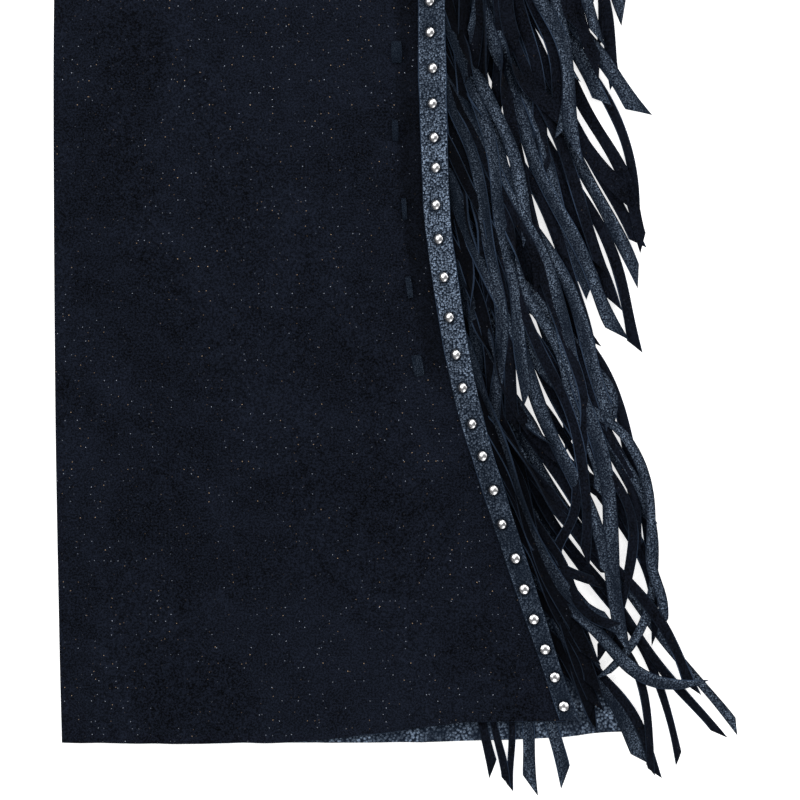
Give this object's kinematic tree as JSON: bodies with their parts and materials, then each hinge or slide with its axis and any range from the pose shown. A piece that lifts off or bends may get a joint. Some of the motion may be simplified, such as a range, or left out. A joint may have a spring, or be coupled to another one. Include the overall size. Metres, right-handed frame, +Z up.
{
  "type": "leather chaps",
  "caption": "Suede chaps laid flat, front up, with a strip of dome studs and long cut fringe down each outseam and a buckled waist belt.",
  "frame": {"origin": "middle of the garment's box, on the surface that it lies on", "axes": "+X to the right as seen from above, +Y towards the waist, +Z up through the flat garment"},
  "size_m": [0.9728, 1.0781, 0.0134],
  "materials": {
    "suede": "matt rough-out suede, very dark navy",
    "grain": "pebbled grain, satin, very dark navy",
    "nickel": "bright nickel plate"
  },
  "bodies": {
    "root": {"belt": "grain", "buckle": "nickel", "buckle_prong": "nickel", "fringe_hem_left": "grain", "fringe_hem_right": "grain", "fringe_left_1": "grain", "fringe_left_2": "grain", "fringe_left_3": "grain", "fringe_left_4": "grain", "fringe_left_5": "grain", "fringe_left_6": "grain", "fringe_left_7": "grain", "fringe_right_1": "grain", "fringe_right_2": "grain", "fringe_right_3": "grain", "fringe_right_4": "grain", "fringe_right_5": "grain", "fringe_right_6": "grain", "fringe_right_7": "grain", "lace_left_01": "grain", "lace_left_02": "grain", "lace_left_03": "grain", "lace_left_04": "grain", "lace_left_05": "grain", "lace_left_06": "grain", "lace_left_07": "grain", "lace_left_08": "grain", "lace_left_09": "grain", "lace_left_10": "grain", "lace_left_11": "grain", "lace_left_12": "grain", "lace_left_13": "grain", "lace_right_01": "grain", "lace_right_02": "grain", "lace_right_03": "grain", "lace_right_04": "grain", "lace_right_05": "grain", "lace_right_06": "grain", "lace_right_07": "grain", "lace_right_08": "grain", "lace_right_09": "grain", "lace_right_10": "grain", "lace_right_11": "grain", "lace_right_12": "grain", "lace_right_13": "grain", "leg_back_left": "suede", "leg_back_right": "suede", "leg_front_left": "suede", "leg_front_right": "suede", "stud_strip_left": "grain", "stud_strip_right": "grain"}
  },
  "joints": []
}
